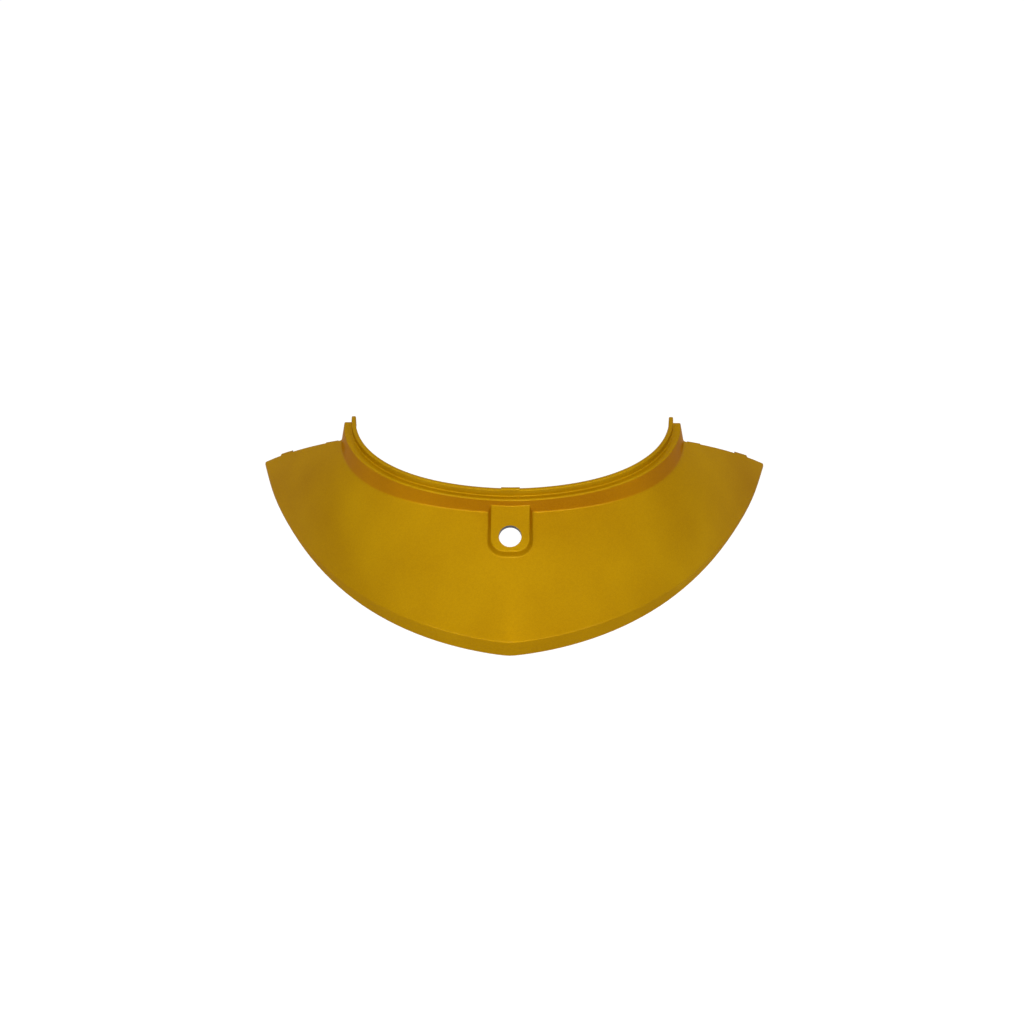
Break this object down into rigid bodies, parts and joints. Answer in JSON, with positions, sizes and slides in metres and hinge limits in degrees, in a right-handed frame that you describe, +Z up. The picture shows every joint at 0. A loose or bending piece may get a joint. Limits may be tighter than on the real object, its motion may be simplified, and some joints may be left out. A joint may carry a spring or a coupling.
{
  "type": "scooter tail trim panel",
  "caption": "Moulded gold tail trim that wraps the rear of a scooter seat: sloping crescent deck, U-shaped rim, return flange, raised plate with a seat lock hole, tongues at the wings.",
  "frame": {"origin": "centre of the seat lock hole on the lock plate's outer face", "axes": "+X to the right seen from behind, -Y to the rear, +Z up with the flange's foot level"},
  "size_m": [0.3728, 0.2169, 0.0808],
  "materials": {
    "gold_paint": "metallic gloss"
  },
  "bodies": {
    "root": {"panel_trim": "gold_paint"}
  },
  "joints": []
}
